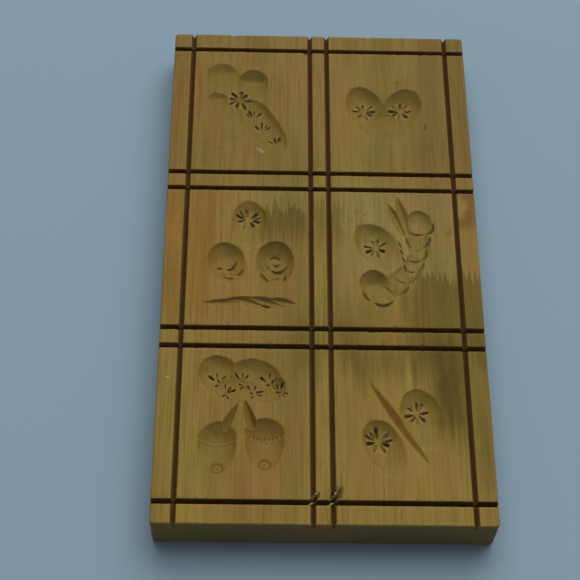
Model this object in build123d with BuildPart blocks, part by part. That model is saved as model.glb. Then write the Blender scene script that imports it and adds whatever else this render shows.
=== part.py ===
"""Carved wooden biscuit mold: one plank of close-grained hardwood, ruled by V-grooves into six
panels, each panel hollowed with a folk motif that the dough takes as relief.

Frame: millimetres, +Z up, +Y along the plank to its far end, origin at the centre of the underside.
"""

import os
from math import atan2, cos, degrees, hypot, radians, sin, sqrt

from build123d import *

# Plank and panel layout
board_thickness = 19.0
left_panel_width = 50.9
right_panel_width = 52.05
back_panel_length = 65.8
middle_panel_length = 66.2
front_panel_length = 64.5
side_margin = 8.35
end_margin = 8.7
centre_strip = 7.35
cross_strip = 8.05

# Eased edges of the plank
corner_radius = 1.4
bottom_edge_radius = 1.2
top_edge_radius = 0.7

# V-grooves that part the panels
groove_width = 2.3
groove_depth = 2.9

# Depths of the carving
petal_depth = 4.8
lobe_depth = 4.2
bird_wing_depth = 3.6
small_wing_depth = 1.9
pod_depth = 3.2
pod_end_depth = 4.8
oak_leaf_depth = 3.9
acorn_cap_depth = 5.0
acorn_nut_depth = 3.9

# Punch marks in the floors of the hollows
punch_length = 2.3
punch_width = 1.0
tip_ring_radius = 2.1
tip_ring_width = 0.8
tip_ring_depth = 0.4

board_width = 2 * side_margin + left_panel_width + centre_strip + right_panel_width
board_length = (
    2 * end_margin + 2 * cross_strip + back_panel_length + middle_panel_length + front_panel_length
)

# Groove lines, worked out from the margins inwards
left_groove = -board_width / 2 + side_margin
left_centre_groove = left_groove + left_panel_width
right_centre_groove = left_centre_groove + centre_strip
right_groove = right_centre_groove + right_panel_width
back_groove = board_length / 2 - end_margin
upper_pair_back = back_groove - back_panel_length
upper_pair_front = upper_pair_back - cross_strip
lower_pair_back = upper_pair_front - middle_panel_length
lower_pair_front = lower_pair_back - cross_strip
front_groove = lower_pair_front - front_panel_length

# Panel centres
left_column = left_groove + left_panel_width / 2
right_column = right_centre_groove + right_panel_width / 2
back_row = back_groove - back_panel_length / 2
middle_row = upper_pair_front - middle_panel_length / 2
front_row = lower_pair_front - front_panel_length / 2


class Scoop:
    """An egg-shaped hollow that a gouge leaves: part of a solid of revolution lying on its side.

    The centre is in the panel's own millimetres. The head end points along the heading, and head,
    tail and half_width are measured on the plank's face.
    """

    def __init__(self, panel, centre, heading, head, tail, half_width, depth):
        self.x = panel[0] + centre[0]
        self.y = panel[1] + centre[1]
        self.heading = heading
        self.radius = (half_width**2 + depth**2) / (2 * depth)
        self.axis_height = self.radius - depth
        spread = sqrt(1 - (self.axis_height / self.radius) ** 2)
        self.head = head / spread
        self.tail = tail / spread

    def cutter(self):
        """The solid that is taken out of the plank."""
        along = Vector(cos(radians(self.heading)), sin(radians(self.heading)), 0)
        middle = Vector(self.x, self.y, board_thickness + self.axis_height)
        with BuildPart() as hollow:
            with BuildSketch(Plane(origin=middle, x_dir=along, z_dir=Vector(along.Y, -along.X, 0))):
                with BuildLine():
                    EllipticalCenterArc((0, 0), self.head, self.radius, start_angle=0, arc_size=90)
                    EllipticalCenterArc((0, 0), self.tail, self.radius, start_angle=90, arc_size=90)
                    Line((-self.tail, 0), (self.head, 0))
                make_face()
            revolve(axis=Axis(middle, along))
        return hollow.part

    def floor(self, x, y):
        """How far the hollow's floor lies below the plank's face at a point, or 0 outside it."""
        dx = x - self.x
        dy = y - self.y
        turn = radians(self.heading)
        along = dx * cos(turn) + dy * sin(turn)
        across = dy * cos(turn) - dx * sin(turn)
        reach = self.head if along > 0 else self.tail
        inside = 1 - (along / reach) ** 2 - (across / self.radius) ** 2
        return max(self.radius * sqrt(inside) - self.axis_height, 0) if inside > 0 else 0


def depth_at(scoops, x, y):
    """Depth of the deepest of several overlapping hollows at a point."""
    return max(scoop.floor(x, y) for scoop in scoops)


def stroke(panel, start, end, half_width, depth):
    """A long narrow gouge cut from start to end."""
    middle = ((start[0] + end[0]) / 2, (start[1] + end[1]) / 2)
    half_length = hypot(end[0] - start[0], end[1] - start[1]) / 2
    heading = degrees(atan2(end[1] - start[1], end[0] - start[0]))
    return Scoop(panel, middle, heading, half_length, half_length, half_width, depth)


with BuildPart() as punch:
    with BuildSketch(Plane.XZ):
        with BuildLine():
            EllipticalCenterArc((0, 0), punch_length / 2, punch_width / 2, start_angle=0, arc_size=180)
            Line((-punch_length / 2, 0), (punch_length / 2, 0))
        make_face()
    revolve(axis=Axis.X)


def on_floor(scoops, x, y, heading):
    """The place of a punch mark on the floor of the hollows, turned to its heading and the slope."""
    ahead = (punch_length / 2 * cos(radians(heading)), punch_length / 2 * sin(radians(heading)))
    drop = depth_at(scoops, x + ahead[0], y + ahead[1]) - depth_at(scoops, x - ahead[0], y - ahead[1])
    pitch = degrees(atan2(drop, punch_length))
    level = board_thickness - depth_at(scoops, x, y)
    return Location((x, y, level)) * Location((0, 0, 0), (0, 0, heading)) * Location((0, 0, 0), (0, pitch, 0))


def rosette(panel, scoops, centre, reach, count, first=90.0, arc=360.0):
    """Punch marks set like petals round a point; reach is from the centre to their outer ends."""
    x = panel[0] + centre[0]
    y = panel[1] + centre[1]
    ring = reach - punch_length / 2
    step = arc / count
    marks = []
    for i in range(count):
        heading = first + i * step
        place = (x + ring * cos(radians(heading)), y + ring * sin(radians(heading)))
        if depth_at(scoops, *place) > punch_width:
            marks.append(on_floor(scoops, *place, heading))
    return marks


def petal_row(panel, scoops, centre, radius, first, last, count):
    """Punch marks set end to end along an arc, as the edge of a carved petal."""
    x = panel[0] + centre[0]
    y = panel[1] + centre[1]
    marks = []
    for i in range(count):
        angle = first + (last - first) * i / (count - 1)
        place = (x + radius * cos(radians(angle)), y + radius * sin(radians(angle)))
        if depth_at(scoops, *place) > punch_width:
            marks.append(on_floor(scoops, *place, angle + 90))
    return marks


with BuildPart() as tip_ring:
    with BuildSketch():
        Circle(tip_ring_radius + tip_ring_width / 2)
        Circle(tip_ring_radius - tip_ring_width / 2, mode=Mode.SUBTRACT)
        Circle(tip_ring_width / 2)
    extrude(amount=tip_ring_depth, both=True)


def bird_panel():
    """Back left: a long-tailed bird with two round wings, punched down its back."""
    panel = (left_column, back_row)
    scoops = [
        Scoop(panel, (-11.9, 17.4), 112, 7.0, 9.5, 6.8, bird_wing_depth),
        Scoop(panel, (0.9, 14.8), 88, 6.8, 9.5, 6.3, bird_wing_depth),
        Scoop(panel, (-14.3, 3.4), 90, 4.2, 5.5, 3.9, small_wing_depth),
        Scoop(panel, (5.2, -7.4), 118, 15.0, 15.5, 6.8, lobe_depth),
    ]
    marks = rosette(panel, scoops, (-4.5, 5.1), 4.4, 8)
    marks += rosette(panel, scoops, (2.6, -3.0), 3.2, 4, 50, 180)
    marks += rosette(panel, scoops, (5.4, -9.0), 3.2, 4, 50, 180)
    marks += rosette(panel, scoops, (11.2, -17.2), 3.2, 4, 50, 180)
    return scoops, marks


def heart_panel():
    """Back right: a heart of two hollows that meet at the foot, with a rosette in each."""
    panel = (right_column, back_row)
    scoops = [
        Scoop(panel, (-9.2, 1.6), 111, 13.0, 18.0, 8.3, petal_depth),
        Scoop(panel, (6.4, 2.6), 69, 11.5, 16.0, 7.9, petal_depth),
    ]
    marks = rosette(panel, scoops, (-9.8, 1.6), 4.2, 8)
    marks += rosette(panel, scoops, (5.2, 2.4), 4.5, 8, 68)
    return scoops, marks


def flower_panel():
    """Middle left: three petals over a ragged leaf, with a rosette, a bud and a rose in them."""
    panel = (left_column, middle_row)
    egg = Scoop(panel, (0.2, 17.7), 90, 9.3, 12.5, 7.4, lobe_depth)
    bud = Scoop(panel, (-8.6, -3.3), 110, 9.0, 10.5, 7.8, petal_depth)
    rose = Scoop(panel, (10.8, -2.8), 78, 9.8, 11.5, 7.9, petal_depth)
    marks = rosette(panel, [egg], (-0.3, 18.2), 4.6, 9)
    marks += petal_row(panel, [bud], (-9.4, -3.2), 4.6, 200, 340, 6)
    marks += petal_row(panel, [bud], (-7.6, -6.0), 4.8, 250, 345, 4)
    marks += petal_row(panel, [rose], (11.2, -1.8), 1.4, 0, 270, 4)
    marks += petal_row(panel, [rose], (11.4, -2.6), 3.8, 170, 380, 7)
    marks += petal_row(panel, [rose], (9.4, -6.0), 5.6, 200, 330, 6)
    leaf = [
        stroke(panel, (-18.6, -22.2), (5.4, -23.0), 2.3, 1.9),
        stroke(panel, (-4.0, -19.8), (13.0, -23.2), 1.9, 1.7),
        stroke(panel, (5.4, -20.6), (19.6, -22.2), 1.4, 1.4),
    ]
    return [egg, bud, rose] + leaf, marks


def pod_panel():
    """Middle right: a petal with a rosette beside a curved, jointed pod under two leaf blades."""
    panel = (right_column, middle_row)
    petal = Scoop(panel, (-6.7, 6.3), 129, 12.0, 11.5, 8.6, lobe_depth)
    pod = [
        Scoop(panel, (11.0, 17.2), 90, 5.6, 6.4, 4.8, pod_depth),
        Scoop(panel, (9.9, 5.2), 84, 5.6, 6.0, 4.6, pod_depth),
        Scoop(panel, (7.2, -4.0), 62, 5.2, 5.6, 4.5, pod_depth),
        Scoop(panel, (2.0, -10.4), 42, 6.2, 6.6, 5.2, pod_depth),
        Scoop(panel, (-5.2, -13.6), 20, 8.2, 8.0, 7.2, pod_end_depth),
    ]
    marks = rosette(panel, [petal], (-6.8, 5.2), 4.2, 8, 110)
    blades = [
        stroke(panel, (-1.2, 25.7), (5.0, 9.2), 1.5, 1.3),
        stroke(panel, (3.0, 28.7), (6.2, 15.2), 1.7, 1.3),
    ]
    return [petal] + pod + blades, marks


def acorn_panel():
    """Front left: a lobed oak leaf over two acorns that hang from their stems."""
    panel = (left_column, front_row)
    leaf = [
        Scoop(panel, (-8.8, 18.8), 170, 9.2, 12.0, 8.0, oak_leaf_depth),
        Scoop(panel, (4.2, 17.4), -14, 11.0, 12.0, 7.7, oak_leaf_depth),
    ]
    acorns = [
        Scoop(panel, (-10.1, -6.0), 90, 5.2, 3.4, 7.2, acorn_cap_depth),
        Scoop(panel, (-10.1, -10.4), 90, 6.0, 9.4, 7.2, acorn_nut_depth),
        Scoop(panel, (7.5, -4.0), 90, 5.2, 3.4, 7.3, acorn_cap_depth),
        Scoop(panel, (7.5, -8.6), 90, 6.0, 9.8, 7.3, acorn_nut_depth),
    ]
    marks = []
    for centre in [(-10.3, 19.4), (-1.3, 19.2), (8.0, 18.0)]:
        marks += rosette(panel, leaf, centre, 3.0, 4, 30, 240)
    for centre in [(-7.4, 15.0), (1.7, 14.9), (12.0, 15.0)]:
        marks += rosette(panel, leaf, centre, 2.6, 4, 0, 240)
    stems = [
        stroke(panel, (-2.6, 8.8), (-8.2, -3.0), 1.2, 1.2),
        stroke(panel, (-0.3, 9.3), (3.4, -3.0), 1.3, 1.3),
    ]
    return leaf + acorns + stems, marks


def bean_panel():
    """Front right: a long leaf laid across the panel between two petals, each with a rosette."""
    panel = (right_column, front_row)
    scoops = [
        Scoop(panel, (7.2, 4.1), 108, 10.5, 13.5, 8.0, lobe_depth),
        Scoop(panel, (-7.7, -7.9), 111, 9.3, 13.0, 7.0, lobe_depth),
    ]
    marks = rosette(panel, scoops, (6.5, 5.5), 4.3, 8, 100)
    marks += rosette(panel, scoops, (-8.6, -5.9), 4.7, 9)
    blade = stroke(panel, (-10.7, 16.2), (9.6, -16.4), 2.0, 1.8)
    return scoops + [blade], marks


scoops = []
marks = []
for panel_carving in (
    bird_panel(),
    heart_panel(),
    flower_panel(),
    pod_panel(),
    acorn_panel(),
    bean_panel(),
):
    scoops += panel_carving[0]
    marks += panel_carving[1]
acorn_tips = [
    (left_column - 10.3, front_row - 18.6, board_thickness),
    (left_column + 8.2, front_row - 18.8, board_thickness),
]

with BuildPart() as mold_board:
    Box(board_width, board_length, board_thickness, align=(Align.CENTER, Align.CENTER, Align.MIN))
    fillet(mold_board.edges().filter_by(Axis.Z), corner_radius)
    fillet(mold_board.faces().sort_by(Axis.Z)[0].edges(), bottom_edge_radius)
    fillet(mold_board.faces().sort_by(Axis.Z)[-1].edges(), top_edge_radius)

    with BuildSketch(Plane.XZ.offset(-board_length / 2)):
        for x in (left_groove, left_centre_groove, right_centre_groove, right_groove):
            with BuildLine():
                Polyline(
                    (x - groove_width / 2, board_thickness),
                    (x, board_thickness - groove_depth),
                    (x + groove_width / 2, board_thickness),
                    close=True,
                )
            make_face()
    extrude(amount=board_length, mode=Mode.SUBTRACT)
    with BuildSketch(Plane.YZ.offset(-board_width / 2)):
        for y in (
            back_groove,
            upper_pair_back,
            upper_pair_front,
            lower_pair_back,
            lower_pair_front,
            front_groove,
        ):
            with BuildLine():
                Polyline(
                    (y - groove_width / 2, board_thickness),
                    (y, board_thickness - groove_depth),
                    (y + groove_width / 2, board_thickness),
                    close=True,
                )
            make_face()
    extrude(amount=board_width, mode=Mode.SUBTRACT)

    for scoop in scoops:
        add(scoop.cutter(), clean=False, mode=Mode.SUBTRACT)
    with Locations(*acorn_tips):
        add(tip_ring.part, clean=False, mode=Mode.SUBTRACT)
    with Locations(*marks):
        add(punch.part, clean=False, mode=Mode.SUBTRACT)

mold_board.part.label = "mold_board"

os.makedirs("parts", exist_ok=True)
export_step(mold_board.part, "parts/mold_board.step")
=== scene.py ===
"""The look of a carved wooden biscuit mold: one worn plank, ruled by V-grooves, hollowed with motifs.

The plank is one mesh in metres. Its carved face is worked out as a depth below the face at each
point, in millimetres from the middle of the plank, with x to the right and y to the far end.
"""

import math

import bpy
import numpy as np
from mathutils import Matrix, Vector


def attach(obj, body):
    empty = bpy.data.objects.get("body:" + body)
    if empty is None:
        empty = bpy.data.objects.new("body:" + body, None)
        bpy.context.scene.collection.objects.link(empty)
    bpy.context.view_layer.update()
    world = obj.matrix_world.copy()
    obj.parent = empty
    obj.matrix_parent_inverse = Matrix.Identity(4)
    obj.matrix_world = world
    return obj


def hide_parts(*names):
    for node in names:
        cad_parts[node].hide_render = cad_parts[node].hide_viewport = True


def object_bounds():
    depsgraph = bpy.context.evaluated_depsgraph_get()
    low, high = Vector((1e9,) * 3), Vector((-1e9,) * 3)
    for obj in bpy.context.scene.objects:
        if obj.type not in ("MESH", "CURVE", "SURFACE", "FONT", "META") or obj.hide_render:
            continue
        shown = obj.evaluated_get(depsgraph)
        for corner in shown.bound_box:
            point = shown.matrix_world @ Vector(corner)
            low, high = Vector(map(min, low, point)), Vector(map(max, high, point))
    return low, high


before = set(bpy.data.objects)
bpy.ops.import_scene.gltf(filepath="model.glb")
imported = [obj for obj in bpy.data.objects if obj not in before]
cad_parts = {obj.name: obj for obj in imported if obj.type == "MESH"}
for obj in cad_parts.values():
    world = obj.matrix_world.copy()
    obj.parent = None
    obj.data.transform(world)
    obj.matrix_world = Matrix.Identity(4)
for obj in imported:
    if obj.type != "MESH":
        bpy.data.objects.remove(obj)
cad_low, cad_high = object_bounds()

MM = 0.001
width = (cad_high.x - cad_low.x) / MM
length = (cad_high.y - cad_low.y) / MM
thickness = (cad_high.z - cad_low.z) / MM
half_x = width / 2
half_y = length / 2

# Plank layout, in millimetres
lengthwise_grooves = (-55.15, -4.25, 3.1, 55.15)
crosswise_grooves = (106.3, 40.5, 32.45, -33.75, -41.8, -106.3)
groove_half = 1.15
groove_depth = 2.8
corner_radius = 1.4
top_ease = 0.75
bottom_ease = 1.3
carved_columns = ((-49.5, -9.0), (11.0, 48.0))
carved_rows = ((-97.0, -45.5), (-26.5, 30.0), (49.0, 99.5))

# Mesh. Steps and insets are in millimetres, and a side's levels run from 0 at the face to 1 where
# the easing of the bottom edge starts
fine_step = 0.32
plain_step = 0.75
short_span = 1.2
edge_insets = (0.1, 0.28, 0.5, 0.75, 1.1)
side_levels = (0.12, 0.3, 0.5, 0.7, 0.88, 1.0)
ease_angles = (22, 45, 67, 90)
crease_angle = 38


# Smooth random values


def hashed(i, j, seed):
    """A repeatable random value from 0 to 1 for each pair of whole numbers."""
    n = np.sin(i * 127.1 + j * 311.7 + seed * 74.7) * 43758.5453
    return n - np.floor(n)


def noise(x, y, seed=0):
    """Smooth noise from -1 to 1 with features about one unit across."""
    i = np.floor(x)
    j = np.floor(y)
    u = x - i
    v = y - j
    u = u * u * (3 - 2 * u)
    v = v * v * (3 - 2 * v)
    low = hashed(i, j, seed) * (1 - u) + hashed(i + 1, j, seed) * u
    high = hashed(i, j + 1, seed) * (1 - u) + hashed(i + 1, j + 1, seed) * u
    return 2 * (low * (1 - v) + high * v) - 1


def smooth(low, high, value):
    """0 below low, 1 above high, and a smooth rise between."""
    t = np.clip((value - low) / (high - low), 0, 1)
    return t * t * (3 - 2 * t)


def leaning(v, lean):
    """Moves the middle of a cut that runs from -1 to 1 over to lean, which makes one wall the steeper."""
    return np.where(v > lean, (v - lean) / (1 - lean), (v - lean) / (1 + lean))


# Tool cuts. A hollow keeps the deeper of the field and the cut, and a mark on its floor adds to the field


class Face:
    """Depth and finish of the carved face at a set of points.

    depth is in millimetres. The other fields say from 0 to 1 how much a point lies in a groove, in a
    mark on a floor and in a hollow, and how pale it is with fresh wood and painted highlights.
    """

    def __init__(self, x, y):
        self.x = x
        self.y = y
        self.depth = np.zeros_like(x)
        self.groove = np.zeros_like(x)
        self.punch = np.zeros_like(x)
        self.hollow = np.zeros_like(x)
        self.fresh_and_highlight = np.zeros_like(x)

    def near(self, x, y, reach):
        """The points inside a square round a place."""
        return (abs(self.x - x) < reach) & (abs(self.y - y) < reach)

    def egg(self, x, y, heading, head, tail, half, deep, peak=0.5, lean=0.0, fade=1.1, flat=2.4, rise=0.75):
        """An egg-shaped hollow that points along heading, in degrees.

        Its head slopes down to the deepest place and its tail ramps up again. That place is at peak,
        from -1 at the tail to 1 at the head.
        """
        wobble = 0.25
        ripple = 0.03
        blend = 5
        at = self.near(x, y, max(head, tail, half) + 1)
        dx = self.x[at] - x + wobble * noise(self.x[at] / 3, self.y[at] / 3, 5)
        dy = self.y[at] - y + wobble * noise(self.x[at] / 3, self.y[at] / 3, 6)
        c = math.cos(math.radians(heading))
        s = math.sin(math.radians(heading))
        along = dx * c + dy * s
        across = dy * c - dx * s
        u = np.clip(np.where(along > 0, along / head, along / tail), -1, 1)
        v = across / (half * np.sqrt(np.maximum(1 - u * u, 1e-4)))
        inside = (abs(v) < 1) & (abs(u) < 1)
        section = np.maximum(1 - abs(leaning(v, lean)) ** flat, 0)
        wall = np.maximum((1 - u) / (1 - peak), 1e-3) ** rise
        ramp = np.maximum((1 + u) / (1 + peak), 1e-3) ** fade
        cut = deep * section * (0.5 * (wall**-blend + ramp**-blend)) ** (-1 / blend)
        tool_waves = abs(np.sin(along * 1.9 + 1.2 * noise(across / 2, along / 3, 7)))
        cut -= ripple * tool_waves * (cut > 0.4)
        cut = np.where(inside, np.maximum(cut, 0), 0)
        self.depth[at] = np.maximum(self.depth[at], cut)
        self.hollow[at] = np.maximum(self.hollow[at], smooth(0.0, 0.5, cut))

    def stroke(self, x0, y0, x1, y1, half, deep, lean=0.0, end=0.0, sharp=1.0, cuts_floor=False, peak=0.5):
        """A gouge stroke between two points, widest at peak, and end is its width at both ends.

        With cuts_floor it is a mark on a floor, and a narrow one gets a painted highlight round its rim.
        """
        rim_reach = 1.7
        rim_widest = 1.2
        rim_highlight = 0.22
        run = math.hypot(x1 - x0, y1 - y0)
        at = self.near((x0 + x1) / 2, (y0 + y1) / 2, run / 2 + half + 0.5)
        c = (x1 - x0) / run
        s = (y1 - y0) / run
        along = ((self.x[at] - x0) * c + (self.y[at] - y0) * s) / run
        across = (self.y[at] - y0) * c - (self.x[at] - x0) * s
        t = np.clip(along, 0, 1)
        t = np.where(t < peak, t / peak * 0.5, 0.5 + (t - peak) / (1 - peak) * 0.5)
        swell = np.maximum(end, np.sin(np.pi * t) ** 0.8)
        v = across / (half * swell + 1e-6)
        cut = deep * swell * np.maximum(1 - abs(leaning(v, lean)) ** (1 + sharp), 0)
        cut = np.where((along >= 0) & (along <= 1) & (abs(v) < 1), cut, 0)
        if cuts_floor:
            self.depth[at] += cut
            self.punch[at] = np.maximum(self.punch[at], smooth(0.25, 1.1, cut))
            # A narrow floor mark gets a painted highlight on the wood round it, kept in the same field as
            # fresh wood
            rim = (along > 0) & (along < 1) & (abs(v) >= 1) & (abs(v) < rim_reach) & (half < rim_widest)
            self.fresh_and_highlight[at] = np.maximum(self.fresh_and_highlight[at] * (cut < 0.1), rim_highlight * rim)
        else:
            self.depth[at] = np.maximum(self.depth[at], cut)
            self.hollow[at] = np.maximum(self.hollow[at], smooth(0.0, 0.4, cut))

    def arc(self, points, half, deep, lean=0.0):
        """A knife cut along the curve through three points, into whatever floor is there."""
        (x0, y0), (x1, y1), (x2, y2) = points
        knot_x = 2 * x1 - (x0 + x2) / 2
        knot_y = 2 * y1 - (y0 + y2) / 2

        def on_curve(t):
            first = (1 - t) ** 2
            knot = 2 * t * (1 - t)
            last = t * t
            return first * x0 + knot * knot_x + last * x2, first * y0 + knot * knot_y + last * y2

        reach = max(math.hypot(x0 - x1, y0 - y1), math.hypot(x2 - x1, y2 - y1)) + half + 0.5
        at = self.near(x1, y1, reach)
        px = self.x[at]
        py = self.y[at]
        best = np.full_like(px, np.inf)
        where = np.zeros_like(px)
        side = np.zeros_like(px)
        steps = 14
        for i in range(steps):
            ax, ay = on_curve(i / steps)
            bx, by = on_curve((i + 1) / steps)
            run = math.hypot(bx - ax, by - ay)
            along = np.clip(((px - ax) * (bx - ax) + (py - ay) * (by - ay)) / run**2, 0, 1)
            gap = np.hypot(px - ax - along * (bx - ax), py - ay - along * (by - ay))
            closer = gap < best
            best = np.where(closer, gap, best)
            where = np.where(closer, i / steps + along / steps, where)
            turn = (px - ax) * (by - ay) - (py - ay) * (bx - ax)
            side = np.where(closer, np.sign(turn), side)
        swell = np.maximum(np.sin(np.pi * np.clip(where, 0.001, 0.999)) ** 0.5, 0.25)
        v = best * side / (half * swell)
        cut = deep * swell * np.maximum(1 - abs(leaning(v, lean)), 0)
        self.depth[at] += cut
        self.punch[at] = np.maximum(self.punch[at], smooth(0.1, 0.6, cut))

    def stab(self, x, y, angle, near, far, half, deep, **shape):
        """A mark on a floor that points away from a centre, between two distances from it."""
        c = math.cos(angle)
        s = math.sin(angle)
        ends = (x + near * c, y + near * s, x + far * c, y + far * s)
        self.stroke(*ends, half, deep, cuts_floor=True, **shape)

    def rosette(self, x, y, reach, count, first=90.0, arc=360.0, deep=1.3, half=0.74, inner=0.16):
        """Gouge stabs set like petals round a point, each deepest at its outer end."""
        for i in range(count):
            self.stab(
                x,
                y,
                math.radians(first + arc * i / count + 11 * math.sin(5.1 * i + x)),
                inner * reach,
                reach * (1 + 0.1 * math.sin(3.7 * i + y)),
                half * (1 + 0.25 * math.sin(2.3 * i + x)),
                deep * (1 + 0.45 * math.sin(4.3 * i + y)),
                lean=0.45 * math.sin(i + x),
                sharp=0.25,
                peak=0.8,
            )
        if arc == 360:
            for i in range(6):
                near = reach * (0.25 + 0.1 * (i % 3))
                self.stab(x, y, 2.2 * i + x, near, 1.9 * near, 0.4, 0.5)

    def fan(self, x, y, heading, reach, spread=95.0, count=4, deep=1.3):
        """A few stabs that spread from a foot, as a small bud."""
        self.rosette(x, y, reach, count, heading - spread / 2, spread * count / (count - 1), deep, 0.62, 0.2)

    def ring(self, x, y, radius, half, deep):
        """A punched ring with its centre dot."""
        at = self.near(x, y, radius + 1)
        gap = np.hypot(self.x[at] - x, self.y[at] - y)
        cut = deep * np.maximum(1 - abs(gap - radius) / half, 0)
        cut = np.maximum(cut, 1.2 * deep * np.maximum(1 - gap / 0.6, 0))
        self.depth[at] += cut
        self.punch[at] = np.maximum(self.punch[at], smooth(0.05, 0.4, cut))

    def dent(self, x, y, half_x, half_y, deep):
        """A small bruise in the wood."""
        at = self.near(x, y, max(half_x, half_y) + 0.5)
        r = ((self.x[at] - x) / half_x) ** 2 + ((self.y[at] - y) / half_y) ** 2
        self.depth[at] += deep * np.maximum(1 - r, 0)

    def sliver(self, x0, y0, x1, y1, half, low, pale=1.0):
        """A pale sliver of fresh wood, left standing to a little below the face."""
        at = self.near((x0 + x1) / 2, (y0 + y1) / 2, math.hypot(x1 - x0, y1 - y0) / 2 + half)
        run = math.hypot(x1 - x0, y1 - y0)
        along = ((self.x[at] - x0) * (x1 - x0) + (self.y[at] - y0) * (y1 - y0)) / run**2
        gap = abs((self.y[at] - y0) * (x1 - x0) - (self.x[at] - x0) * (y1 - y0)) / run
        on = (along > 0) & (along < 1) & (gap < half * np.sin(np.pi * np.clip(along, 0, 1)))
        self.depth[at] = np.where(on, np.minimum(self.depth[at], low), self.depth[at])
        self.groove[at] = np.where(on, 0, self.groove[at])
        self.punch[at] = np.where(on, 0, self.punch[at])
        self.fresh_and_highlight[at] = np.maximum(self.fresh_and_highlight[at], pale * on)


# The six panels


def long_petal_panel(face):
    """Far left: two round petals, a small one, and a long one with a row of buds."""
    face.egg(-42.0, 91.0, 112, 7.4, 10.8, 7.0, 2.0, peak=0.35, fade=1.15)
    face.egg(-28.8, 88.8, 92, 6.4, 12.0, 6.5, 3.1, peak=0.2, fade=1.2)
    face.egg(-44.0, 78.4, 95, 4.2, 8.0, 4.6, 1.4, peak=0.3, fade=1.3)
    face.egg(-24.8, 65.2, 122, 18.0, 17.0, 6.9, 2.0, peak=0.2, lean=-0.15, fade=0.5, flat=3.0, rise=0.55)
    face.rosette(-34.5, 78.6, 5.0, 8, 80, deep=1.5, half=0.85)
    face.fan(-28.3, 69.4, 95, 4.6, deep=1.1)
    face.fan(-25.0, 62.8, 80, 4.6)
    face.fan(-18.6, 55.2, 95, 4.4)
    face.ring(-32.5, 97.5, 0.9, 0.35, 0.15)
    face.sliver(-27.0, 53.2, -23.4, 50.4, 0.9, 0.25, 0.4)
    for x, y in ((-38.0, 57.0), (-36.6, 56.2), (-35.4, 57.4), (-44.6, 51.0), (-43.4, 51.6), (-21.0, 95.0)):
        face.stroke(x, y, x + 0.9, y + 1.3, 0.3, 0.35)


def heart_panel(face):
    """Far right: a heart of two petals that meet at the foot."""
    face.egg(19.6, 74.8, 111, 12.4, 19.6, 7.9, 3.1, peak=0.45, fade=1.2)
    face.egg(35.2, 75.2, 68, 11.2, 19.0, 7.9, 3.3, peak=0.4, fade=1.2)
    face.egg(28.4, 68.6, 90, 8.5, 12.5, 10.6, 2.2, peak=0.2, fade=1.2)
    face.rosette(18.9, 74.8, 4.8, 8, 95)
    face.rosette(34.6, 75.3, 5.0, 8, 88)
    face.dent(33.8, 89.0, 0.7, 0.5, 0.4)
    face.dent(30.5, 42.5, 0.8, 0.4, 0.3)
    face.dent(17.0, 47.0, 0.5, 0.5, 0.3)
    face.stroke(44.8, 63.0, 44.9, 68.0, 0.22, 0.6)
    for x, y in ((11.6, 56.4), (12.8, 57.2), (14.0, 55.6), (9.6, 84.0), (43.0, 50.4), (16.2, 48.2)):
        face.stroke(x, y, x + 0.7, y - 1.2, 0.28, 0.3)


def three_petal_panel(face):
    """Middle left: a petal over a bud and a rose, and a twisted leaf below them."""
    face.egg(-29.3, 15.0, 93, 11.0, 12.6, 7.4, 2.6, peak=0.5)
    face.egg(-38.4, -3.0, 110, 8.6, 12.4, 7.6, 3.4, peak=0.25, rise=0.65)
    face.egg(-18.8, -3.0, 86, 9.4, 13.4, 7.9, 3.9, peak=0.3, rise=0.65)
    face.rosette(-29.8, 18.2, 5.2, 9, 90)
    # Each knife cut's three points, half width and depth
    cuts = (
        ((-42.4, -5.2), (-41.0, -5.8), (-39.8, -5.2), 0.55, 0.9),
        ((-38.4, -6.0), (-35.8, -5.8), (-34.2, -1.8), 0.9, 1.2),
        ((-34.2, -9.4), (-32.4, -8.6), (-31.6, -6.2), 0.8, 1.0),
        ((-40.4, -9.0), (-37.6, -11.4), (-34.6, -10.8), 1.1, 0.6),
        ((-40.6, -6.8), (-40.0, -8.4), (-38.6, -9.2), 0.7, 0.4),
        ((-37.6, -7.6), (-36.6, -9.0), (-34.8, -8.8), 0.8, 0.4),
        ((-20.8, -0.6), (-18.8, 0.7), (-16.4, -0.9), 0.7, 0.7),
        ((-20.0, -2.2), (-18.2, -3.8), (-16.6, -2.0), 0.9, 0.9),
        ((-22.4, -2.8), (-21.8, -4.8), (-20.2, -5.6), 0.8, 0.6),
        ((-20.8, -5.8), (-17.2, -7.6), (-13.6, -4.2), 1.2, 1.2),
        ((-24.6, -7.4), (-23.2, -11.0), (-20.6, -12.3), 1.0, 0.9),
        ((-20.4, -12.2), (-18.4, -10.9), (-16.4, -10.6), 0.8, 0.45),
        ((-24.4, -4.2), (-24.0, -6.2), (-22.4, -7.4), 0.9, 0.5),
        ((-15.8, -12.6), (-14.6, -10.6), (-15.4, -8.6), 0.8, 0.9),
        ((-13.9, -10.0), (-12.6, -8.4), (-12.8, -6.4), 0.7, 0.6),
    )
    for *points, half, deep in cuts:
        face.arc(points, half, deep, lean=-0.65)
    # Each stroke of the leaf: its two ends, half width and depth
    twists = (
        (-48.2, -22.8, -27.0, -22.2, 1.8, 1.4),
        (-42.0, -22.0, -24.5, -20.2, 1.3, 1.3),
        (-36.0, -20.2, -21.0, -25.0, 2.5, 1.9),
        (-29.4, -20.2, -14.6, -24.4, 2.4, 1.8),
        (-22.0, -20.8, -10.2, -23.0, 1.8, 1.5),
        (-25.6, -23.2, -19.6, -24.6, 1.0, 2.0),
    )
    for x0, y0, x1, y1, half, deep in twists:
        face.stroke(x0, y0, x1, y1, half, deep, lean=0.5, sharp=0.15)
    face.stroke(-32.2, 3.0, -29.8, 3.1, 0.3, 0.35)
    face.stroke(-28.4, 3.0, -26.6, 2.9, 0.3, 0.35)


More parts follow.
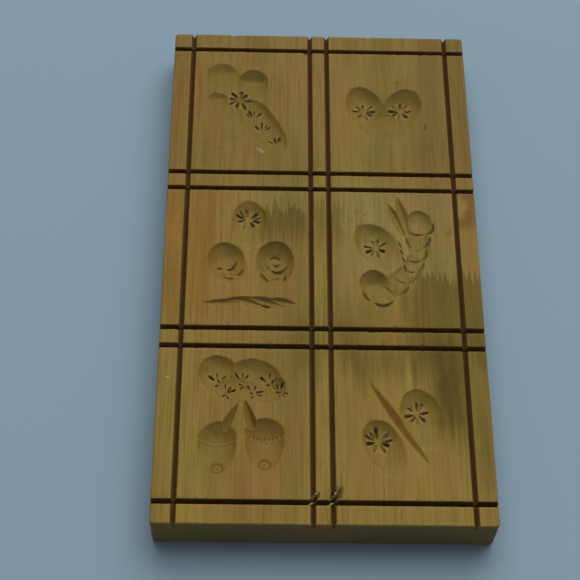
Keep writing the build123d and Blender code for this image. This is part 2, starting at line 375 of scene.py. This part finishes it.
def pod_panel(face):
    """Middle right: a petal beside a jointed pod that curls under two thin leaf blades."""
    face.egg(22.3, 5.2, 126, 11.6, 13.6, 8.3, 2.8, peak=0.45, fade=0.85)
    face.rosette(22.0, 5.2, 4.8, 8, 112)
    face.stroke(27.2, 25.8, 34.0, 8.6, 2.0, 1.8, lean=0.5, sharp=0.3)
    face.stroke(31.2, 29.2, 35.6, 9.0, 2.3, 2.0, lean=0.2, sharp=0.3)
    # Each joint of the pod: its place, heading, head, tail, half width and depth
    joints = (
        (39.9, 16.6, 96, 5.6, 5.8, 5.2, 1.9),
        (39.2, 6.0, 92, 8.6, 9.5, 4.6, 1.2),
        (37.0, -4.0, 70, 8.0, 8.0, 4.1, 1.1),
        (31.4, -10.6, 45, 8.5, 9.0, 4.6, 1.2),
        (24.4, -16.2, 22, 9.0, 8.4, 5.0, 1.5),
    )
    for x, y, heading, head, tail, half, deep in joints:
        face.egg(x, y, heading, head, tail, half, deep, peak=0.1, fade=0.55, flat=3.4, rise=0.55)
    face.egg(20.6, -12.6, 100, 6.0, 6.6, 5.8, 3.6, peak=0.2, fade=0.9)
    # Each knife cut's three points, half width, depth and lean
    cuts = (
        ((42.2, 11.4), (44.8, 12.8), (45.2, 16.8), 1.0, 1.5, 0.6),
        ((35.0, 12.4), (38.2, 10.8), (42.0, 11.3), 0.7, 0.6, -0.6),
        ((34.4, 9.4), (34.9, 6.8), (36.4, 4.4), 0.8, 1.1, 0.2),
        ((41.2, 5.2), (43.0, 6.8), (44.2, 9.8), 0.9, 1.3, 0.6),
        ((36.6, 4.0), (38.8, 3.2), (41.0, 4.6), 0.7, 0.4, -0.6),
        ((40.2, -1.2), (41.8, 0.9), (41.9, 4.0), 0.9, 1.1, 0.6),
        ((34.6, -1.4), (37.6, -2.3), (40.4, -1.2), 0.8, 0.6, -0.6),
        ((37.8, -6.8), (39.8, -5.0), (40.6, -2.6), 0.9, 1.0, 0.6),
        ((33.2, -5.2), (35.2, -7.0), (37.6, -6.6), 0.7, 0.5, -0.6),
        ((34.2, -12.2), (36.8, -10.4), (38.0, -7.8), 0.9, 0.9, 0.6),
        ((28.0, -9.4), (31.4, -11.6), (34.0, -12.0), 0.8, 0.5, -0.6),
        ((29.4, -18.2), (32.8, -16.0), (34.2, -13.4), 0.9, 1.0, 0.6),
        ((23.6, -12.6), (26.4, -15.2), (28.6, -17.8), 0.9, 0.5, -0.6),
        ((16.2, -14.8), (17.0, -18.6), (19.4, -20.6), 0.9, 1.2, 0.0),
        ((19.8, -21.0), (24.2, -23.2), (28.6, -20.4), 0.9, 1.2, -0.4),
    )
    for *points, half, deep, lean in cuts:
        face.arc(points, half, deep, lean)
    for i in range(4):
        x = 31.0 + 0.6 * i
        face.stroke(x, 7.6 - 3.6 * i, x + 1.3, 3.8 - 3.6 * i, 0.5, 1.0, cuts_floor=True)
    face.dent(17.8, 19.6, 0.6, 0.6, 0.5)
    face.dent(12.4, 17.0, 0.4, 0.7, 0.4)
    for x in (10.6, 13.8, 15.2):
        face.stroke(x, 19.0, x + 0.1, 23.5, 0.2, 0.3)


def acorn_panel(face):
    """Near left: a lobed leaf over two acorns on their stems."""
    face.egg(-40.2, -54.2, 122, 8.2, 10.4, 7.6, 2.5, peak=0.4, fade=0.5, flat=3.4)
    face.egg(-26.4, -56.2, 72, 8.6, 9.6, 10.6, 2.5, peak=0.4, fade=0.5, flat=3.4)
    face.egg(-21.6, -59.4, -22, 7.4, 11.0, 6.4, 2.6, peak=0.3, fade=0.5, flat=4.0)
    face.egg(-31.6, -58.2, 90, 7.4, 7.2, 12.6, 2.6, peak=0.1, fade=0.4, flat=4.0)
    # Each cluster's place, heading and reach
    veins = (
        (-40.4, -57.0, 88, 4.6),
        (-37.4, -61.4, 60, 4.0),
        (-31.2, -56.8, 92, 4.6),
        (-27.2, -61.4, 66, 4.0),
        (-20.8, -57.2, 86, 4.6),
        (-16.9, -60.8, 96, 3.8),
    )
    for x, y, heading, reach in veins:
        face.rosette(x, y, reach, 3, heading - 40, 120, 1.4, 0.5, 0.25)
        face.rosette(x + 1.2, y - 0.8, 2.4, 4, heading + 60 * math.sin(x), 260, 1.0, 0.42, 0.15)
    face.stroke(-32.3, -66.2, -38.4, -78.6, 1.8, 2.5, end=0.08, peak=0.8, sharp=0.3, lean=0.4)
    face.stroke(-30.2, -64.4, -26.4, -78.2, 2.2, 2.7, end=0.08, peak=0.8, sharp=0.3, lean=0.3)
    for x, y, half, deep in ((-39.8, -83.6, 7.2, 3.4), (-22.2, -81.8, 7.4, 3.7)):
        face.egg(x, y, 90, 9.4, 13.0, half, deep, peak=0.3, fade=0.8)
        face.egg(x, y + 2.6, 90, 6.4, 2.8, half * 1.04, deep * 1.06, peak=-0.3, fade=0.45, rise=0.7)
        face.arc(((x - half, y + 1.4), (x, y + 0.4), (x + half, y + 1.4)), 0.5, 0.35, lean=0.4)
        face.ring(x, y - 9.4, 1.9, 0.55, 0.4)
        face.dent(x, y - 9.4, 3.0, 3.0, 0.35)
    for i in range(9):
        x = -28.0 + 1.45 * i
        face.stroke(x, -78.6 - 0.3 * (i % 2), x + 0.5, -81.2, 0.4, 0.5, cuts_floor=True)


def crossed_leaf_panel(face):
    """Near right: a long leaf blade laid across the panel between two petals."""
    face.egg(36.9, -71.0, 106, 11.4, 14.6, 8.1, 2.8, peak=0.45, fade=0.9)
    face.egg(22.2, -83.4, 112, 11.0, 14.0, 7.4, 2.9, peak=0.45, fade=0.9)
    face.rosette(35.4, -69.0, 4.8, 8, 98)
    face.rosette(20.4, -80.6, 5.2, 9, 88, deep=1.4, half=0.78)
    face.stroke(17.4, -56.4, 39.4, -91.4, 1.8, 2.2, lean=-0.5, sharp=0.15)
    for i in range(7):
        x = 19.6 + 1.1 * i
        face.stroke(x, -93.6 + 0.5 * (i % 3), x + 0.9, -90.8, 0.4, 0.35)


def grooves(face):
    """The V-grooves, cut with a slight waver and torn a little at the lips."""
    for line in lengthwise_grooves:
        waver = 0.05 * noise(face.y / 9, line, 11)
        tear = 0.1 * np.maximum(noise(face.y / 1.3, line, 12) - 0.35, 0)
        cut_groove(face, abs(face.x - line - waver), tear)
    for line in crosswise_grooves:
        waver = 0.05 * noise(face.x / 9, line, 13)
        tear = 0.22 * np.maximum(noise(face.x / 0.9, line, 14) - 0.2, 0)
        cut_groove(face, abs(face.y - line - waver), tear)


def cut_groove(face, gap, tear):
    """One groove: a V with slightly rounded lips, given each point's distance from its line."""
    lip_drop = 0.16
    lip_width = 0.45
    half = groove_half + tear
    cut = groove_depth * np.clip(1 - gap / half, 0, 1)
    lip = lip_drop * np.clip(1 - (gap - half) / lip_width, 0, 1) ** 2 * (gap > half)
    face.depth = np.maximum(face.depth, np.maximum(cut, lip))
    face.groove = np.maximum(face.groove, smooth(0.0, 0.4, cut))


def wear(face):
    """Splinters at the groove crossings, nicks, bruises and the gentle waves of a hand-planed face."""
    y = crosswise_grooves[-1]
    for x, size in ((lengthwise_grooves[1], 0.8), (lengthwise_grooves[2], 1.25)):
        face.stroke(x - 1.0, y - 0.4, x + 2.6 * size, y + 5.2 * size, 1.7 * size, 2.6, cuts_floor=True)
        face.sliver(x - 0.8, y + 1.4, x + 1.7 * size, y + 4.8 * size, 0.4, 0.1)
        face.sliver(x - 2.2, y - 0.9, x + 0.6, y + 0.4, 0.35, 0.5)
    face.dent(lengthwise_grooves[1] - 1.6, 104.0, 1.0, 1.6, 1.0)
    face.dent(-37.5, half_y, 2.2, 0.8, 1.0)
    face.dent(21.7, half_y, 1.6, 0.7, 0.9)
    face.dent(-59.4, -55.5, 0.7, 0.5, 0.35)
    face.sliver(-60.0, -55.9, -58.9, -55.2, 0.35, 0.2)
    face.stroke(-61.5, -58.0, -58.6, -54.6, 0.2, 0.3)
    face.stroke(-60.8, -54.2, -58.0, -56.2, 0.16, 0.25)
    face.depth += 0.05 * (1 + noise(face.x / 14, face.y / 40, 21))
    face.depth += 0.012 * (1 + noise(face.x / 0.7, face.y / 9, 22))


def carved_face(x, y):
    """The whole face at a set of points."""
    face = Face(x, y)
    long_petal_panel(face)
    heart_panel(face)
    three_petal_panel(face)
    pod_panel(face)
    acorn_panel(face)
    crossed_leaf_panel(face)
    grooves(face)
    wear(face)
    return face


# The plank as a mesh


def ruled(half, lines, carved):
    """Grid coordinates from edge to edge that hold every groove's lips and foot, close where it is carved."""
    marks = {-half, half, *(end for band in carved for end in band)}
    for inset in edge_insets:
        marks |= {-half + inset, half - inset}
    for line in lines:
        marks |= {line - groove_half, line, line + groove_half}
    marks = sorted(marks)
    runs = []
    for a, b in zip(marks, marks[1:]):
        middle = (a + b) / 2
        close = b - a < short_span or any(low < middle < high for low, high in carved)
        step = fine_step if close else plain_step
        runs.append(np.linspace(a, b, max(1, math.ceil((b - a) / step)), endpoint=False))
    return np.append(np.concatenate(runs), half)


def into_corner(x, y):
    """How far each point is into the corner zone along each axis, from 0 to 1."""
    u = np.clip((abs(x) - (half_x - corner_radius)) / corner_radius, 0, 1)
    v = np.clip((abs(y) - (half_y - corner_radius)) / corner_radius, 0, 1)
    return u, v


def round_corners(x, y):
    """Moves the grid's points so that its square corners become round ones."""
    u, v = into_corner(x, y)
    corner = (u > 0) & (v > 0)
    new_x = np.where(corner, half_x - corner_radius + corner_radius * u * np.sqrt(1 - v * v / 2), abs(x))
    new_y = np.where(corner, half_y - corner_radius + corner_radius * v * np.sqrt(1 - u * u / 2), abs(y))
    return np.copysign(new_x, x), np.copysign(new_y, y)


def edge_distance(x, y):
    """How far each point is in from the plank's outline."""
    dx = half_x - corner_radius - abs(x)
    dy = half_y - corner_radius - abs(y)
    corner = (dx < 0) & (dy < 0)
    return np.where(corner, corner_radius - np.hypot(dx, dy), np.minimum(dx, dy) + corner_radius)


def face_height(x, y, face):
    """Height of the carved face over the table, with its eased and worn edges."""
    ease = top_ease * (1 + 0.3 * noise(x / 7, y / 7, 31))
    inset = np.clip(edge_distance(x, y), 0, ease)
    drop = ease - np.sqrt(np.maximum(ease**2 - (ease - inset) ** 2, 0))
    return thickness - np.maximum(drop + 0.3 * face.depth * (drop > 0), face.depth)


def plank_mesh():
    """The plank: a fine grid for the face, and rings round the outline down to the underside."""
    xs = ruled(half_x, lengthwise_grooves, carved_columns)
    ys = ruled(half_y, crosswise_grooves, carved_rows)
    grid_x, grid_y = np.meshgrid(xs, ys)
    x, y = round_corners(grid_x.ravel(), grid_y.ravel())
    z = face_height(x, y, carved_face(x, y))
    index = np.arange(len(x)).reshape(len(ys), len(xs))
    quads = np.stack([index[:-1, :-1], index[:-1, 1:], index[1:, 1:], index[1:, :-1]], axis=-1)
    points = [np.stack([x, y, z], axis=1)]
    faces = [quads.reshape(-1, 4)]

    outline = np.concatenate([index[0, :-1], index[:-1, -1], index[-1, :0:-1], index[:0:-1, 0]])
    edge_x = x[outline]
    edge_y = y[outline]
    edge_z = z[outline]
    u, v = into_corner(edge_x, edge_y)
    normal_x = u * np.sign(edge_x)
    normal_y = v * np.sign(edge_y)
    normal_length = np.maximum(np.hypot(normal_x, normal_y), 1e-6)
    rings = [(0.0, level) for level in side_levels]
    rings += [(bottom_ease * (1 - math.cos(a)), 1 + math.sin(a)) for a in np.radians(ease_angles)]
    previous = outline
    count = len(x)
    for inset, level in rings:
        if level <= 1:
            ring_z = edge_z + (bottom_ease - edge_z) * level
        else:
            ring_z = np.full_like(edge_z, bottom_ease - bottom_ease * (level - 1))
        waver = 0.07 * (1 + noise((edge_x + edge_y) / 6, ring_z / 4, 41))
        move = (inset + waver) / normal_length
        points.append(np.stack([edge_x - normal_x * move, edge_y - normal_y * move, ring_z], axis=1))
        ring = count + np.arange(len(outline))
        count += len(outline)
        faces.append(np.stack([previous, ring, np.roll(ring, -1), np.roll(previous, -1)], axis=1))
        previous = ring
    mesh = bpy.data.meshes.new("mold_plank")
    all_faces = np.concatenate(faces).tolist()
    all_faces.append(previous[::-1].tolist())
    mesh.from_pydata((np.concatenate(points) * MM).tolist(), [], all_faces)
    return mesh


def store(mesh, name, values):
    """Keeps one value for each vertex, for the material to read."""
    layer = mesh.attributes.new(name, "FLOAT", "POINT")
    layer.data.foreach_set("value", np.ascontiguousarray(values, dtype=np.float32))


def finish_marks(mesh):
    """Stores what each vertex lies in: a groove, a hollow, a punch mark, a worn lip, and fresh wood with
    painted highlights.
    """
    face_zone = 7
    edge_zone = 1.5
    outline_band = 0.25
    lip_centre = groove_half + 0.25
    lip_spread = 0.28
    edge_spread = 0.9
    flat = np.empty(len(mesh.vertices) * 3, np.float32)
    mesh.vertices.foreach_get("co", flat)
    x, y, z = flat.reshape(-1, 3).astype(float).T / MM
    below = thickness - z
    face = carved_face(x, y)
    on_face = z > thickness - face_zone
    from_edge = edge_distance(x, y)
    lengthwise = np.min([abs(x - line) for line in lengthwise_grooves], axis=0)
    crosswise = np.min([abs(y - line) for line in crosswise_grooves], axis=0)
    lip = np.maximum(
        np.exp(-(((lengthwise - lip_centre) / lip_spread) ** 2)),
        np.exp(-(((crosswise - lip_centre) / lip_spread) ** 2)),
    )
    edge = np.exp(-((from_edge / edge_spread) ** 2)) * (z > thickness - edge_zone)
    on_floor = (from_edge > outline_band) | (below < face.depth + 0.5)
    store(mesh, "groove", face.groove * on_face * smooth(0.05, 0.7, below) * on_floor)
    # Marks the crosswise grooves, which get the darker painted shade
    store(mesh, "cross", (crosswise < lengthwise).astype(float) * on_face)
    store(mesh, "punch", face.punch * on_face)
    store(mesh, "hollow", face.hollow * on_face)
    store(mesh, "lip", np.maximum(lip * (face.groove < 0.3), edge) * on_face)
    store(mesh, "fresh_and_highlight", face.fresh_and_highlight * on_face)


# Materials


class Nodes:
    """Short calls for building a material's nodes."""

    def __init__(self, name):
        self.material = bpy.data.materials.new(name)
        self.material.use_nodes = True
        self.tree = self.material.node_tree
        self.shader = self.tree.nodes["Principled BSDF"]

    def add(self, kind, **settings):
        node = self.tree.nodes.new(kind)
        for key, value in settings.items():
            setattr(node, key, value)
        return node

    def feed(self, socket, value):
        """Links an output to a socket, or sets a plain value on it."""
        if hasattr(value, "links"):
            self.tree.links.new(value, socket)
        else:
            socket.default_value = value

    def math(self, operation, a, b=0.0, c=0.0, clamp=False):
        node = self.add("ShaderNodeMath", operation=operation, use_clamp=clamp)
        for socket, value in zip(node.inputs, (a, b, c)):
            self.feed(socket, value)
        return node.outputs[0]

    def times(self, a, b):
        return self.math("MULTIPLY", a, b)

    def mix(self, factor, a, b, blend="MIX"):
        node = self.add("ShaderNodeMix", data_type="RGBA", blend_type=blend)
        self.feed(node.inputs[0], factor)
        self.feed(node.inputs[6], a)
        self.feed(node.inputs[7], b)
        return node.outputs[2]

    def attribute(self, name):
        return self.add("ShaderNodeAttribute", attribute_name=name).outputs["Fac"]

    def stretch(self, vector, scale):
        node = self.add("ShaderNodeMapping")
        self.feed(node.inputs["Vector"], vector)
        node.inputs["Scale"].default_value = scale
        return node.outputs[0]

    def noise(self, vector, scale, detail=3.0, rough=0.5, distortion=0.0):
        node = self.add("ShaderNodeTexNoise")
        self.feed(node.inputs["Vector"], vector)
        node.inputs["Scale"].default_value = scale
        node.inputs["Detail"].default_value = detail
        node.inputs["Roughness"].default_value = rough
        node.inputs["Distortion"].default_value = distortion
        return node.outputs["Fac"]

    def between(self, value, low, high):
        """0 at low, 1 at high, smooth between, and low may be above high."""
        node = self.add("ShaderNodeMapRange", interpolation_type="SMOOTHSTEP")
        self.feed(node.inputs["Value"], value)
        node.inputs["From Min"].default_value = low
        node.inputs["From Max"].default_value = high
        return node.outputs[0]


# Colours, as linear red, green and blue with alpha. The tints are multiplied onto what is there
pale_band = (0.222, 0.146, 0.028, 1)
dark_band = (0.17, 0.108, 0.02, 1)
dark_streak = (0.128, 0.079, 0.011, 1)
pale_blotch = (0.25, 0.168, 0.03, 1)
dark_pore = (0.08, 0.045, 0.01, 1)
ruddy_tint = (1.08, 0.96, 1.05, 1)
green_tint = (0.92, 1.0, 0.9, 1)
stain_tint = (0.6, 0.58, 0.3, 1)
yellow_stain = (0.21, 0.185, 0.006, 1)
ruddy_end = (0.178, 0.117, 0.06, 1)
green_end = (0.122, 0.124, 0.062, 1)
# Painted shade for the hollows, and for the punch marks and knife cuts on their floors
hollow_shade = (0.135, 0.087, 0.013, 1)
punch_shade = (0.045, 0.025, 0.005, 1)
# Groove colours: scorch together with painted shade, and the crosswise one darker because the light does not
# run along those grooves
lengthwise_scorch_and_shade = (0.092, 0.045, 0.014, 1)
crosswise_scorch_and_shade = (0.042, 0.02, 0.005, 1)
groove_dust = (0.095, 0.05, 0.013, 1)
worn_lip = (0.25, 0.17, 0.05, 1)
# Fresh wood of the slivers, also used as the painted highlight round narrow floor marks
fresh_wood_and_highlight = (0.42, 0.32, 0.17, 1)
table_color = (0.196, 0.28, 0.348, 1)
room_color = (1.0, 0.99, 0.97, 1)

# Each row of the next two tables starts with a rough box, in millimetres: its low and high x, its
# low and high y, and how soft it is at its left, right, low and high sides. A strength follows, and
# in the first table the tint
tints_and_far_end_shade = (
    # The first row is a painted shade that darkens the whole far end of the plank
    ((-70, 70, 38, 130, (1, 1, 12, 9)), 1.0, (0.84, 0.84, 0.86, 1)),
    ((-70, -43, -30, 34, (1, 7, 5, 5)), 0.8, (0.98, 0.82, 0.56, 1)),
    ((-70, -52, 34, 112, (1, 6, 6, 5)), 0.6, (1.0, 0.84, 0.66, 1)),
    ((4, 57, -14, 34, (5, 4, 8, 3)), 0.8, (1.02, 1.13, 1.6, 1)),
    ((-30, -5, 19, 34, (6, 1, 5, 3)), 0.6, (1.04, 1.12, 1.5, 1)),
    ((56, 70, 14, 32, (2, 1, 5, 4)), 0.9, (0.66, 0.5, 0.34, 1)),
    ((10, 70, -112, -44, (8, 2, 6, 6)), 0.5, (0.95, 1.0, 1.0, 1)),
)
soaked_stains = (
    ((-24, -6, 8, 22, (1.5, 1, 8, 0.4)), 0.95),
    ((-3, 9, 6, 24, (1, 1.5, 8, 0.4)), 0.6),
    ((33, 66, -46, -10, (7, 1, 5, 0.4)), 0.9),
    ((12, 40, -38, -20, (7, 7, 5, 6)), 0.4),
    ((10, 54, -54, -40, (5, 5, 8, 6)), 0.8),
    ((43, 56, -82, -46, (3, 3, 9, 8)), 0.95),
    ((57, 70, -98, -44, (2, 2, 9, 8)), 0.5),
    ((45, 52, -74, -52, (2, 2, 7, 6)), 0.9),
    ((36, 46, -66, -46, (4, 4, 7, 6)), 0.4),
    ((-12, 14, -52, -28, (5, 5, 8, 7)), 0.6),
)
yellow_box = (-54.5, -50.5, -112, -106, (1, 4, 5, 1))


def bare_wood(n, place, streaks, pores):
    """The colour of the wood itself: bands, streaks, blotches and pores along the grain."""
    bands = n.noise(n.stretch(place, (1, 0.06, 1)), 75, 3, 0.5, 0.4)
    blotch = n.noise(n.stretch(place, (1, 0.5, 1)), 28, 3)
    hue = n.noise(n.stretch(place, (1, 0.3, 1)), 60, 3, 0.6)
    color = n.mix(n.between(bands, 0.3, 0.72), pale_band, dark_band)
    color = n.mix(n.times(n.between(streaks, 0.38, 0.68), 0.6), color, dark_streak)
    color = n.mix(n.times(n.between(blotch, 0.45, 0.75), 0.35), color, pale_blotch)
    color = n.mix(n.between(hue, 0.52, 0.66), color, ruddy_tint, "MULTIPLY")
    color = n.mix(n.between(hue, 0.48, 0.34), color, green_tint, "MULTIPLY")
    return n.mix(n.times(pores, 0.4), color, dark_pore)


def stained(n, place, streaks, color):
    """The patches of another tint, a painted shade over the far end, the stains that soaked in along the
    grain, and a yellow one.
    """
    split = n.add("ShaderNodeSeparateXYZ")
    n.feed(split.inputs[0], place)
    x = n.times(split.outputs[0], 1 / MM)
    y = n.times(split.outputs[1], 1 / MM)
    near_face = n.between(split.outputs[2], 3 * MM, 12 * MM)
    drift = n.times(n.math("SUBTRACT", n.noise(place, 70, 3), 0.5), 22.0)
    ragged = n.noise(n.stretch(place, (1, 0.02, 1)), 420, 2, 0.6)
    frayed = n.noise(n.stretch(place, (1, 0.015, 1)), 1500, 1)
    fingers = n.times(n.math("SUBTRACT", ragged, 0.5), 36.0)
    fingers = n.math("MULTIPLY_ADD", n.math("SUBTRACT", frayed, 0.5), 9.0, fingers)
    sideways = n.times(drift, 0.35)

    def patch(x_low, x_high, y_low, y_high, soft, wander_x, wander_y):
        """1 inside a rough box and 0 outside, with the given softness at each of its four sides."""
        left, right, low, high = soft
        across = n.math("ADD", x, wander_x)
        along = n.math("ADD", y, wander_y)
        mask = n.between(across, x_low - left, x_low + left)
        mask = n.times(mask, n.between(across, x_high + right, x_high - right))
        mask = n.times(mask, n.between(along, y_low - low, y_low + low))
        return n.times(mask, n.between(along, y_high + high, y_high - high))

    # Tint patches, the first of them a painted shade over the far end
    for box, strength, tint in tints_and_far_end_shade:
        color = n.mix(n.times(patch(*box, drift, drift), strength), color, tint, "MULTIPLY")
    for box, strength in soaked_stains:
        mask = n.times(patch(*box, sideways, fingers), near_face)
        color = n.mix(n.times(mask, strength), color, stain_tint, "MULTIPLY")
    yellow = n.times(patch(*yellow_box, 0.0, 0.0), n.between(streaks, 0.3, 0.5))
    return n.mix(n.times(yellow, 0.9), color, yellow_stain)


def tooled(n, place, color):
    """End grain, painted shade in the hollows and punch marks, grooves that are scorched and painted with
    shade, worn lips, fresh wood and painted highlights.
    """
    normal = n.add("ShaderNodeSeparateXYZ")
    n.feed(normal.inputs[0], n.add("ShaderNodeNewGeometry").outputs["Normal"])
    end_grain = n.between(n.math("ABSOLUTE", normal.outputs[1]), 0.35, 0.9)
    end_hue = n.between(n.noise(n.stretch(place, (1, 1, 1.8)), 48, 3, 0.6), 0.38, 0.62)
    color = n.mix(n.times(end_grain, 0.7), color, n.mix(end_hue, ruddy_end, green_end))
    # Painted shade in the hollows, and in the punch marks and knife cuts on their floors
    color = n.mix(n.times(n.attribute("hollow"), 0.4), color, hollow_shade)
    color = n.mix(n.times(n.attribute("punch"), 0.42), color, punch_shade)
    dust = n.between(n.noise(n.stretch(place, (1, 0.3, 1)), 260, 3), 0.3, 0.7)
    # The grooves: scorch and painted shade, darker in the crosswise grooves, which the light does not run
    # along
    scorch_and_shade = n.mix(n.attribute("cross"), lengthwise_scorch_and_shade, crosswise_scorch_and_shade)
    scorch_and_shade = n.mix(n.times(dust, 0.4), scorch_and_shade, groove_dust)
    color = n.mix(n.times(n.attribute("groove"), 0.95), color, scorch_and_shade)
    color = n.mix(n.times(n.attribute("lip"), 0.3), color, worn_lip)
    # Fresh wood, and the painted highlight round narrow floor marks
    return n.mix(n.times(n.attribute("fresh_and_highlight"), 0.75), color, fresh_wood_and_highlight)


def wood_material():
    """Pale close-grained hardwood that has yellowed, with soaked-in stains and dark grooves."""
    n = Nodes("worn_wood")
    place = n.add("ShaderNodeTexCoord").outputs["Object"]
    streaks = n.noise(n.stretch(place, (1, 0.035, 1)), 900, 4, 0.6)
    pores = n.between(n.noise(n.stretch(place, (1, 0.09, 1)), 1900, 1), 0.66, 0.74)
    color = bare_wood(n, place, streaks, pores)
    color = stained(n, place, streaks, color)
    n.feed(n.shader.inputs["Base Color"], tooled(n, place, color))

    shine = n.math("MULTIPLY_ADD", streaks, 0.2, 0.5)
    rough = n.math("ADD", shine, n.times(n.attribute("groove"), 0.3), clamp=True)
    n.feed(n.shader.inputs["Roughness"], rough)
    n.shader.inputs["Specular IOR Level"].default_value = 0.1
    bump = n.add("ShaderNodeBump")
    bump.inputs["Strength"].default_value = 0.35
    bump.inputs["Distance"].default_value = 0.15 * MM
    n.feed(bump.inputs["Height"], n.math("ADD", n.times(streaks, 0.6), n.times(pores, -0.5)))
    n.feed(n.shader.inputs["Normal"], bump.outputs[0])
    return n.material


def table_material():
    """A plain pale cool table."""
    n = Nodes("table_top")
    n.shader.inputs["Base Color"].default_value = table_color
    n.shader.inputs["Roughness"].default_value = 0.8
    n.shader.inputs["Specular IOR Level"].default_value = 0.2
    return n.material


# Assembly


def shown(name, data):
    """A new object in the scene."""
    thing = bpy.data.objects.new(name, data)
    bpy.context.scene.collection.objects.link(thing)
    return thing


plank = shown("mold_plank", plank_mesh())
finish_marks(plank.data)
plank.data.materials.append(wood_material())
plank.data.polygons.foreach_set("use_smooth", [True] * len(plank.data.polygons))
plank.data.set_sharp_from_angle(angle=math.radians(crease_angle))
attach(plank, "root")
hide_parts("mold_board")

floor_reach = 4.0
floor_z = -0.1 * MM
floor_signs = ((-1, -1), (1, -1), (1, 1), (-1, 1))
floor_corners = [(x * floor_reach, y * floor_reach, floor_z) for x, y in floor_signs]
floor_mesh = bpy.data.meshes.new("floor")
floor_mesh.from_pydata(floor_corners, [], [(0, 1, 2, 3)])
floor = shown("floor", floor_mesh)
floor_mesh.materials.append(table_material())


# Light, from one soft square lamp on the far side and the room

lamp_place = Vector((0.35, 1.42, 2.25))
lamp_size = 3.0
lamp_power = 98.0
room_strength = 0.26

lamp_data = bpy.data.lights.new("window", "AREA")
lamp_data.shape = "SQUARE"
lamp_data.size = lamp_size
lamp_data.energy = lamp_power
lamp = shown("window", lamp_data)
lamp.location = lamp_place
lamp.rotation_mode = "QUATERNION"
lamp.rotation_quaternion = (-lamp_place).to_track_quat("-Z", "Y")
world = bpy.data.worlds.new("soft_room")
world.use_nodes = True
world.node_tree.nodes["Background"].inputs[0].default_value = room_color
world.node_tree.nodes["Background"].inputs[1].default_value = room_strength
bpy.context.scene.world = world
bpy.context.scene.view_settings.view_transform = "Standard"


# Camera, at the photograph's angle

camera_elevation = math.radians(59.095)
camera_yaw = math.radians(-2.490)
camera_roll = math.radians(2.957)
camera_distance = 565.32 * MM
camera_target = Vector((-12.80 * MM, -16.42 * MM, thickness * MM))
sensor = 36.0
focal_pixels = 1427.40
photo_pixels = 580

back = Vector(
    (
        math.sin(camera_yaw) * math.cos(camera_elevation),
        -math.cos(camera_yaw) * math.cos(camera_elevation),
        math.sin(camera_elevation),
    )
)
level = Vector((0, 0, 1)).cross(back).normalized()
upright = back.cross(level)
right = math.cos(camera_roll) * level + math.sin(camera_roll) * upright
up = math.cos(camera_roll) * upright - math.sin(camera_roll) * level
camera_data = bpy.data.cameras.new("camera")
camera_data.sensor_width = sensor
camera_data.lens = sensor * focal_pixels / photo_pixels
camera = shown("camera", camera_data)
axes = Matrix((right, up, back)).transposed().to_4x4()
camera.matrix_world = Matrix.Translation(camera_target + back * camera_distance) @ axes
bpy.context.scene.camera = camera
